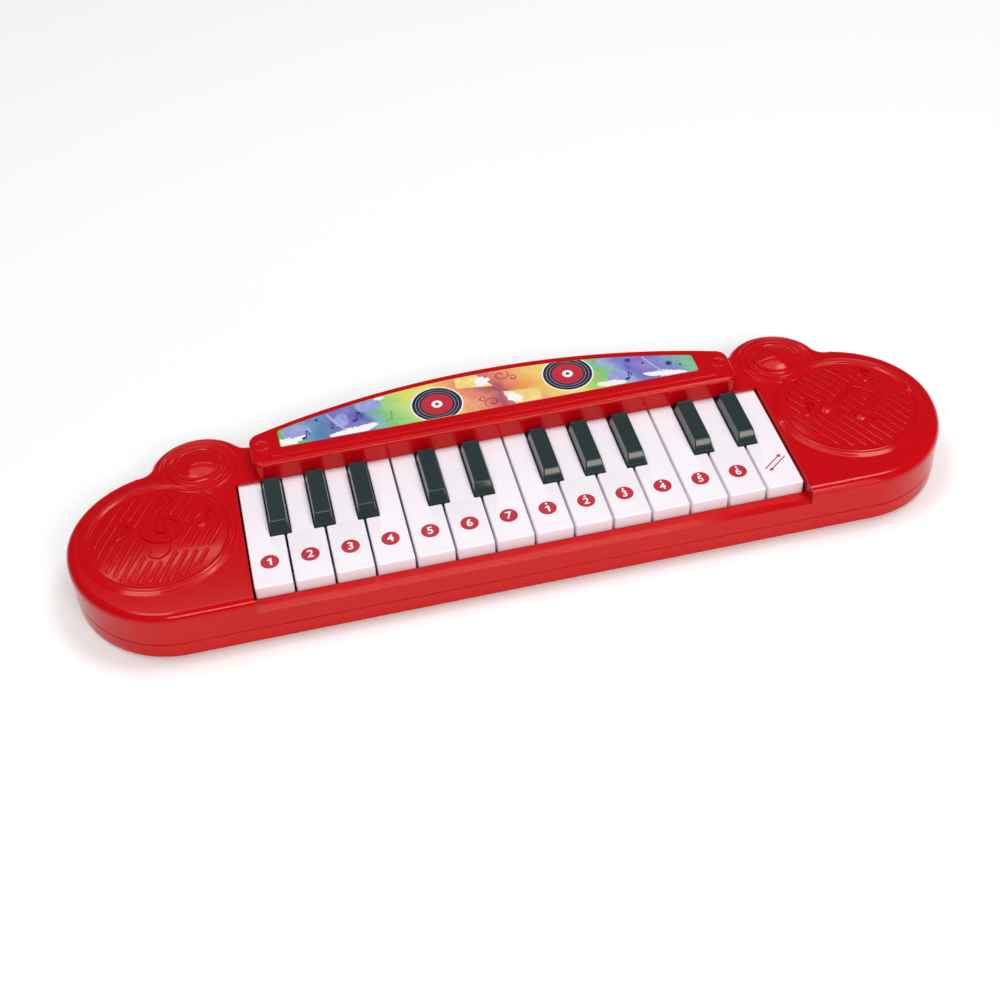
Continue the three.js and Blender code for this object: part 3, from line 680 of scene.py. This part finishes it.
# ---------------------------------------------------------------- case
def upper_shell():
    """Upper case with its key bay, console, round mounds and bosses."""
    shell = slab("upper_shell", LOW, SEAM_HIGH, CHEEK_TOP, top=4.0, bottom=0.3, steps=8)
    boolean(shell, [slab("console", CONSOLE, SEAM_HIGH, CONSOLE_TOP, top=1.8, bottom=0.3, steps=6)], "UNION")
    inner = slab("inner", inset(LOW, WALL), SEAM_HIGH - 1, CHEEK_TOP - WALL)
    boolean(inner, [block(-BAY_X - WALL, -BAY_X, FRONT, CONSOLE_FRONT, 12, 40),
                    block(BAY_X, BAY_X + WALL, FRONT, CONSOLE_FRONT, 12, 40),
                    block(-BAY_X - 1, BAY_X + 1, FRONT, BAY_FRONT, SILL_TOP - WALL, 40)])
    boolean(inner, [slab("room", inset(CONSOLE, WALL), SEAM_HIGH - 1, CONSOLE_TOP - WALL)], "UNION")
    boolean(shell, [
        block(-BAY_X, BAY_X, FRONT - 5, BAY_FRONT + 2, SILL_TOP, 60),
        block(-BAY_X, BAY_X, BAY_FRONT, CONSOLE_FRONT, 5, 60),
    ])
    bevel(shell, 0.55, 3, 50)
    boolean(shell, [inner])
    boolean(shell, [block(-BAY_X, BAY_X, CONSOLE_FRONT - 1, 31, 20, KEY_TOP + 0.6)])
    raised = [slab("band", box_points(-108, 108, 21.3, 24.2, 1.4), CONSOLE_TOP - 0.5, CONSOLE_TOP + 0.38, top=0.3,
                   steps=4)]
    for side in (-1, 1):
        raised += [grille_mound(side), dish(side)]
        z = CONSOLE_TOP
        raised.append(spun("boss", [(0, z - 0.5), (3.9, z - 0.5), (3.9, z), (3.6, z + 0.28), (3.2, z + 0.38),
                                    (2.8, z + 0.28), (2.4, z + 0.1), (1.6, z + 0.16), (0, z + 0.2)],
                           side * 111.2, 30.5, sides=40))
    boolean(shell, raised, "UNION")
    boolean(shell, [
        slab("pocket", label_outline(0.25), CONSOLE_TOP - 0.6, CONSOLE_TOP + 5),
        block(-5.5, 5.5, 50, 62, 16.5, 20.5),
    ])
    finish_mesh(shell, 30)
    return shell


def lower_shell():
    """Lower case with its lip, battery opening, screw wells and speaker holes."""
    shell = slab("lower_shell", LOW, BOTTOM, SEAM_LOW, RED_LOW, top=0.3, bottom=1.5, steps=5)
    boolean(shell, [slab("rear", CONSOLE, BOTTOM, SEAM_LOW, RED_LOW, top=0.3, bottom=1.5, steps=5)], "UNION")
    lip = slab("lip", inset(LOW, LIP_SKIN), FLOOR_TOP, LIP_TOP, RED_LOW)
    boolean(lip, [slab("lip_rear", inset(CONSOLE, LIP_SKIN), FLOOR_TOP, LIP_TOP, RED_LOW)], "UNION")
    boolean(facet(shell), [facet(lip)], "UNION")
    room = slab("room", inset(LOW, ROOM_SKIN), FLOOR_TOP, 20)
    boolean(room, [slab("room_rear", inset(CONSOLE, ROOM_SKIN), FLOOR_TOP, 20)], "UNION")
    boolean(facet(shell), [facet(room)])
    facet(shell)
    door_low, door_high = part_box("battery_door")
    x0, y0, x1, y1 = (door_low[0] / MM, door_low[1] / MM, door_high[0] / MM, door_high[1] / MM)
    cuts = [block(x0 - 0.3, x1 + 0.3, y0 - 0.3, y1 + 0.3, -1, 5, 0.8)]
    for x, y in SCREWS:
        boolean(shell, [post(x, y, 4.6, 2, 10)], "UNION")
        cuts += [post(x, y, 3.4, 0, 6.5), post(x, y, 1.7, 6, 12, 20)]
    cuts += [post(x, y, 6.4, 0, 2.1) for x, y in FEET]
    holes = [(0, 0)] + arc(0, 0, 8, 8, 0, 300, 5) + arc(0, 0, 16, 16, 0, 330, 11)
    cuts += [post(x + SPEAKER_X, y + SPEAKER_Y, 1.8, 0, 4, 20) for x, y in holes]
    boolean(shell, cuts)
    finish_mesh(shell, 30)
    return shell


# ---------------------------------------------------------------- keys
def white_left(i):
    return KEYS_LEFT + PITCH * i


def black_centre(key):
    return KEYS_LEFT - 0.5 + PITCH * key[0] + key[1]


def white_outline(i, d=0.0):
    """White key seen from above, with its shoulders, moved inwards by d."""
    left = next((k for k in BLACKS if k[0] == i), None)
    right = next((k for k in BLACKS if k[0] == i + 1), None)
    base = white_left(i)
    clear = BLACK_W / 2 + NOTCH_GAP + d
    x0 = black_centre(left) + clear if left else base + d
    x1 = black_centre(right) - clear if right else base + WHITE_W - d
    notch = BLACK_FRONT - NOTCH_FRONT - d
    front = KEY_FRONT + d
    rear = 22 if d else KEY_REAR
    r = 0.4 if d else 1.1
    corners = [(base + d, front, r), (base + WHITE_W - d, front, r)]
    if right:
        corners += [(base + WHITE_W - d, notch, 0.8), (x1, notch, 0.6)]
    corners += [(x1, rear, 0.8), (x0, rear, 0.8)]
    if left:
        corners += [(x0, notch, 0.6), (base + d, notch, 0.8)]
    return rounded(corners, 5)


def white_key(i):
    name = f"white_key_{i + 1:02d}"
    key = slab(f"white_{i + 1:02d}_body", white_outline(i), WHITE_BOTTOM, KEY_TOP, WHITE, top=0.65, steps=4)
    boolean(key, [slab("hollow", white_outline(i, KEY_WALL), WHITE_BOTTOM - 1, KEY_TOP - KEY_WALL)])
    finish_mesh(key, 34)
    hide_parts(name)
    return key


def black_key(j):
    """Black key that narrows towards its top, with a low tail to the hinge."""
    x = black_centre(BLACKS[j])
    half, top = BLACK_W / 2, BLACK_TOP_W / 2
    rings = []
    for z, t in ((WHITE_BOTTOM, 0.0), (KEY_TOP - 0.6, 0.0), (KEY_TOP + 0.6, 0.11), (BLACK_TOP - 0.35, 0.94),
                 (BLACK_TOP - 0.12, 1.0), (BLACK_TOP, 1.1)):
        w = half - (half - top) * t
        front = BLACK_FRONT + (BLACK_TOP_FRONT - BLACK_FRONT) * t
        rear = BLACK_REAR if z > KEY_TOP - 0.7 else KEY_REAR
        rings.append([(px, py, z) for px, py in rounded(
            [(x - w, front, 0.6), (x + w, front, 0.6), (x + w, rear, 0.6), (x - w, rear, 0.6)], 4)])
    body = rings[:1] + [[(px, py, KEY_TOP - 0.61) for px, py, _ in rings[0]]]
    upper = [[(px, py, KEY_TOP - 0.6) for px, py, _ in rings[2]]] + rings[2:]
    tail = make("tail", *loft(body), BLACK)
    key = make(f"black_{j + 1:02d}_body", *loft(upper), BLACK, 40)
    key = join(key.name, [key, tail])
    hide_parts(f"black_key_{j + 1:02d}")
    return key


def lettering(text, size, x, y, z, mat, name, bold=0.0):
    """Flat printed characters, centred on a point."""
    curve = bpy.data.curves.new(name, "FONT")
    curve.body = text
    curve.size = size * MM
    curve.align_x = "CENTER"
    curve.align_y = "CENTER"
    curve.extrude = 0.02 * MM
    curve.offset = bold * MM
    temp = bpy.data.objects.new(name, curve)
    bpy.context.scene.collection.objects.link(temp)
    graph = bpy.context.evaluated_depsgraph_get()
    graph.update()
    mesh = bpy.data.meshes.new_from_object(temp.evaluated_get(graph))
    bpy.data.objects.remove(temp)
    mesh.transform(Matrix.Translation((x * MM, y * MM, z * MM)))
    mesh.materials.clear()
    mesh.materials.append(mat)
    obj = bpy.data.objects.new(name, mesh)
    bpy.context.scene.collection.objects.link(obj)
    return obj


def disc_points(x, y, rx, ry, sides=40):
    return [(x + rx * math.cos(2 * math.pi * k / sides), y + ry * math.sin(2 * math.pi * k / sides))
            for k in range(sides)]


def key_marks(i):
    """Printed red disc with a white number, and a dot above it in the second octave."""
    x, y = white_left(i) + WHITE_W / 2, PRINT_Y
    disc = slab("disc", disc_points(x, y, DISC_R, DISC_R), KEY_TOP - 0.05, KEY_TOP + 0.03, PRINT_RED)
    second = i >= 7
    parts = [disc]
    foot = y - (0.5 if second else 0.0)
    if i % 7 == 0:
        parts.append(slab("digit", [(x + u * 0.95, foot + v * (0.88 if second else 1)) for u, v in (
            (-0.05, -2.15), (0.95, -2.15), (0.95, 2.15), (0.15, 2.15), (-1.15, 1.35), (-1.15, 0.55), (-0.05, 1.0))],
            KEY_TOP, KEY_TOP + 0.06, PRINT_WHITE))
    else:
        parts.append(lettering(str(i % 7 + 1), 5.6 if second else 6.2, x, foot, KEY_TOP + 0.04, PRINT_WHITE, "digit",
                               0.1))
    if second:
        parts.append(slab("dot", disc_points(x, y + 2.8, 0.55, 0.55, 16), KEY_TOP, KEY_TOP + 0.06, PRINT_WHITE))
    return join(f"print_{i + 1:02d}", parts)


def swap_sign(i):
    """Generic sign on the last key: two slanted arrows that point opposite ways."""
    x, y = white_left(i) + WHITE_W / 2 + 0.3, -33.5
    parts = []
    for flip, shift in ((1, 1.2), (-1, -1.2)):
        spine = [(-6.4, 0.3), (-6.4, -0.3), (4.2, -0.3), (4.2, -1.2), (6.4, 0.0), (4.2, 1.2), (4.2, 0.3)]
        turn = math.radians(38)
        pts = []
        for u, v in spine:
            u, v = u * flip, v * flip + shift
            pts.append((x + u * math.cos(turn) - v * math.sin(turn), y + u * math.sin(turn) + v * math.cos(turn)))
        parts.append(slab("arrow", pts, KEY_TOP - 0.05, KEY_TOP + 0.03, PRINT_RED))
    return join(f"print_{i + 1:02d}", parts)


# ---------------------------------------------------------------- label
def inside_label(x, y, margin=0.3):
    """Whether a point is on the printed sheet."""
    if abs(x - LABEL_CX) > LABEL_X - margin or y < LABEL_FRONT + margin:
        return False
    return y < LABEL_REAR - margin - LABEL_R + math.sqrt(LABEL_R ** 2 - (x - LABEL_CX) ** 2)


def patch(cx, cy, reach, mat, lift, steps=96, margin=0.3):
    """A thin printed patch around a point. reach gives its radius at an angle; the edge of the label trims it."""
    verts = [(cx, cy, LABEL_TOP - 0.02), (cx, cy, LABEL_TOP + lift)]
    for k in range(steps):
        a = 2 * math.pi * k / steps
        far = reach(a)
        while far > 0.2 and not inside_label(cx + far * math.cos(a), cy + far * math.sin(a), margin):
            far -= 0.08
        for z in (LABEL_TOP - 0.02, LABEL_TOP + lift):
            verts.append((cx + far * math.cos(a), cy + far * math.sin(a), z))
    faces = []
    for k in range(steps):
        i, j = 2 + 2 * k, 2 + 2 * ((k + 1) % steps)
        faces += [[0, j, i], [1, i + 1, j + 1], [i, j, j + 1, i + 1]]
    return make("patch", verts, faces, mat)


def oval(rx, ry, turn=0.0):
    def reach(a):
        a -= turn
        return rx * ry / math.hypot(ry * math.cos(a), rx * math.sin(a))
    return reach


def ragged(rx, ry, seed, rough=0.3, turn=0.0):
    smooth = oval(rx, ry, turn)

    def reach(a):
        p = Vector((math.cos(a), math.sin(a), 0))
        return smooth(a) * (1 + rough * noise.noise(p * 2 + Vector((seed, 0, 0)))
                            + rough * 0.7 * noise.noise(p * 9 + Vector((0, seed, 0))))
    return reach


def rhomb(corners, cx, cy):
    """Reach of a convex four-sided patch."""
    def reach(a):
        d = Vector((math.cos(a), math.sin(a)))
        best = 1e9
        for (x0, y0), (x1, y1) in zip(corners, corners[1:] + corners[:1]):
            e = Vector((x1 - x0, y1 - y0))
            den = d.x * e.y - d.y * e.x
            if abs(den) > 1e-9:
                t = ((x0 - cx) * e.y - (y0 - cy) * e.x) / den
                if t > 0:
                    best = min(best, t)
        return best
    return reach


def flat_line(path, width, mat, lift, taper=True):
    """Thin printed line along a curve."""
    curve = [p for p in smooth_path(path, 0.5) if inside_label(p.x, p.y, 0.5)]
    left, right = [], []
    last = len(curve) - 1
    for i, p in enumerate(curve):
        along = (curve[min(i + 1, last)] - curve[max(i - 1, 0)]).normalized()
        half = width / 2 * (1 - 0.6 * i / last if taper else 1)
        side = Vector((-along.y, along.x)) * half
        left.append(tuple(p + side))
        right.append(tuple(p - side))
    return slab("line", right + left[::-1], LABEL_TOP - 0.02, LABEL_TOP + lift, mat)


def label_note(x, y, size, mat):
    stems, head = eighth_note(x, y, size, 0.2)
    return [flat_line(path, 0.6, mat, 0.06, False) for path in stems] + [
        patch(x, y, oval(head[2], head[3], 0.4), mat, 0.06, 24)]


def swirl(x, y, size, turn):
    curl = []
    for k in range(15):
        t = 0.5 * k
        r = size * (0.5 + 0.32 * t)
        curl.append((x + r * math.cos(t + turn), y + r * math.sin(t + turn)))
    return flat_line(curl, 0.75, INK_MAROON, 0.06)


def record_mark(x, y):
    """Plain gramophone record."""
    parts = []
    for r, mat, lift in ((12.6, PRINT_WHITE, 0.07), (11.9, VINYL, 0.08), (10.4, INK_MIST, 0.085), (10.2, VINYL, 0.09),
                         (8.8, INK_MIST, 0.095), (8.6, VINYL, 0.1), (7.6, PRINT_RED, 0.11), (2.6, PRINT_WHITE, 0.12),
                         (0.9, VINYL, 0.13)):
        parts.append(patch(x, y, oval(r, r), mat, lift, 128, 0.15))
    return parts


def label_art():
    """Everything that is printed over the washes of colour."""
    parts = [
        patch(-94.5, 36.0, ragged(7.0, 4.6, 1.0, 0.16), INK_LILAC, 0.02),
        patch(-58.5, 45.6, ragged(6.4, 4.4, 2.0, 0.18, 0.3), INK_LILAC, 0.02),
        patch(-72.5, 38.0, ragged(3.6, 4.6, 2.6, 0.2), INK_LILAC, 0.02),
        patch(61.5, 33.4, ragged(5.2, 4.6, 3.0, 0.16), INK_LILAC, 0.02),
        patch(-98.5, 29.8, ragged(7.6, 2.6, 4.0, 0.5), PRINT_WHITE, 0.03),
        patch(-68.5, 29.0, ragged(10.0, 2.9, 5.2, 0.5, 0.1), PRINT_WHITE, 0.03),
        patch(-52.5, 49.0, ragged(2.6, 1.4, 6.0, 0.4), PRINT_WHITE, 0.03),
        patch(57.5, 29.6, ragged(6.4, 1.9, 7.3, 0.5), PRINT_WHITE, 0.03),
        patch(84.5, 29.6, ragged(8.6, 2.4, 8.1, 0.5, -0.1), PRINT_WHITE, 0.03),
        patch(-9.0, 49.5, rhomb([(-15.5, 46), (2.4, 43), (-4.6, 54), (-15, 54)], -9.0, 49.5), INK_STRAW, 0.02),
        patch(14.5, 32.0, rhomb([(10.2, 27), (22.6, 27), (22.4, 35.8), (5.4, 37.9)], 14.5, 32.0), INK_STRAW, 0.02),
        patch(-2.6, 48.0, ragged(3.2, 3.6, 9.4, 0.5, 2.2), PRINT_WHITE, 0.03),
        patch(10.0, 32.6, ragged(2.8, 4.4, 10.2, 0.5, 0.8), PRINT_WHITE, 0.03),
        flat_line([(-79.6, 46.4), (-76.0, 38.5), (-71.4, 31.0)], 1.1, INK_MIST, 0.035, False),
        flat_line([(76.4, 45.6), (79.4, 38.5), (83.4, 31.2)], 0.9, INK_MIST, 0.035, False),
    ]
    for x, y, r in ((69.4, 43.8, 1.5), (88.0, 36.4, 1.5), (75.8, 40.0, 0.7), (93.0, 34.0, 0.6), (-84.0, 41.6, 0.9),
                    (-77.5, 34.0, 0.6), (-63.8, 41.4, 0.8)):
        parts.append(patch(x, y, oval(r, r), INK_BLUE, 0.045, 24))
    for x, y, size, mat in ((-91.2, 30.4, 0.5, INK_BLUE), (-66.2, 36.4, 0.55, INK_BLUE), (-50.2, 33.0, 0.5, INK_GREEN),
                            (65.6, 30.6, 0.5, INK_BLUE), (52.6, 46.4, 0.36, INK_GREEN)):
        parts += label_note(x, y, size, mat)
    for x, y, size, turn in ((7.2, 50.0, 1.5, 0.0), (12.6, 46.6, 0.8, 2.0), (-0.6, 31.6, 1.5, 3.4),
                             (-5.4, 35.0, 0.8, 1.0)):
        parts.append(swirl(x, y, size, turn))
    parts += record_mark(-26.6, 37.2) + record_mark(38.8, 42.0)
    return join("label_art", parts)


# ---------------------------------------------------------------- build
shell = upper_shell()
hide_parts("upper_case")
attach(shell, "case")
weighted(shell)
low = lower_shell()
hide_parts("lower_case")
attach(low, "case")
weighted(low)
for sign in (-1, 1):
    relief = grille_relief(sign)
    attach(relief, "case")

for index in range(14):
    key = white_key(index)
    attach(key, f"white_{index + 1:02d}")
    marks = key_marks(index) if index < 13 else swap_sign(index)
    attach(marks, f"white_{index + 1:02d}")
for index in range(10):
    key = black_key(index)
    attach(key, f"black_{index + 1:02d}")
    weighted(key)

sheet = slab("label_sheet", label_outline(), CONSOLE_TOP - 0.5, LABEL_TOP, LABEL)
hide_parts("label_panel")
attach(sheet, "case")
art = label_art()
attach(art, "case")

NODE_LOOKS = {
    "key_hinge_rail": GREY, "key_clamp_bar": GREY, "key_stop_felt": FELT, "rubber_contacts_white": SILICONE,
    "rubber_contacts_black": SILICONE, "key_contact_board": LAMINATE, "main_board": LAMINATE, "sound_chip": EPOXY,
    "speaker_frame": STEEL, "speaker_magnet": MAGNET, "speaker_cone": CONE, "battery_door": RED_UNDER,
    "battery_door_screw": STEEL, "battery_1": CELL, "battery_2": CELL, "battery_3": CELL,
    "battery_contact_left": STEEL, "battery_contact_right": STEEL, "power_switch_body": DARK,
    "power_switch_knob": DARK, "speaker_wire": WIRE_BLUE, "battery_wire": WIRE_RED,
    **{f"case_screw_{k}": STEEL for k in range(1, 7)}, **{f"rubber_foot_{k}": RUBBER for k in range(1, 5)},
}
for node, look in NODE_LOOKS.items():
    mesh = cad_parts[node].data
    mesh.materials.clear()
    mesh.materials.append(look)

# ---------------------------------------------------------------- stage
def studio():
    """Floor, soft lights and the camera."""
    scene = bpy.context.scene
    floor_mat, nodes, links, bsdf = material("studio_floor")
    bsdf.inputs["Base Color"].default_value = (0.95, 0.97, 0.97, 1)
    bsdf.inputs["Roughness"].default_value = 0.9
    bsdf.inputs["Specular IOR Level"].default_value = 0.1
    bsdf.inputs["Emission Color"].default_value = (1, 1, 1, 1)
    bsdf.inputs["Emission Strength"].default_value = 0.06
    floor = make("studio_floor", [(-6000, -6000, 0), (6000, -6000, 0), (6000, 6000, 0), (-6000, 6000, 0)],
                 [[0, 1, 2, 3]], floor_mat)

    world = bpy.data.worlds.new("studio")
    scene.world = world
    world.use_nodes = True
    world.node_tree.nodes["Background"].inputs["Color"].default_value = (1, 1, 1, 1)
    world.node_tree.nodes["Background"].inputs["Strength"].default_value = 0.11

    def lamp(name, place, target, size, power, color=(1, 1, 1)):
        data = bpy.data.lights.new(name, "AREA")
        data.shape = "RECTANGLE"
        data.size, data.size_y = size
        data.energy = power
        data.color = color
        obj = bpy.data.objects.new(name, data)
        obj.location = place
        obj.rotation_euler = (Vector(target) - Vector(place)).to_track_quat("-Z", "Y").to_euler()
        scene.collection.objects.link(obj)

    lamp("overhead_right", (0.8, 0.2, 1.9), (0, 0, 0), (0.7, 0.6), 11.2)
    lamp("overhead_left", (-0.7, 0.1, 1.9), (0, 0, 0), (0.7, 0.6), 7.4)
    lamp("front_bank", (0.1, -1.7, 1.45), (0, 0, 0), (1.7, 0.6), 26)
    lamp("high_bank", (0.0, 0.9, 2.8), (0, 0.7, 0), (2.4, 1.2), 17)
    lamp("rear_strip", (0.0, 1.25, 1.5), (0, 0, 0), (1.2, 0.05), 1.5)
    lamp("low_panel", (0.5, -1.5, 0.36), (0.1, 0, 0), (0.6, 0.2), 2.6, (1, 0.9, 0.76))

    data = bpy.data.cameras.new("camera")
    data.sensor_width = 36
    data.lens = 56.05
    data.clip_start, data.clip_end = 0.01, 30
    camera = bpy.data.objects.new("camera", data)
    right = Vector((0.972929, -0.227504, -0.040624))
    down = Vector((-0.187254, -0.673032, -0.715516))
    ahead = Vector((0.135441, 0.703754, -0.697414))
    turn = Matrix((right, -down, -ahead)).transposed()
    camera.matrix_world = Matrix.Translation((-0.10616, -0.52065, 0.5175)) @ turn.to_4x4()
    scene.collection.objects.link(camera)
    scene.camera = camera
    scene.view_settings.view_transform = "Standard"


studio()
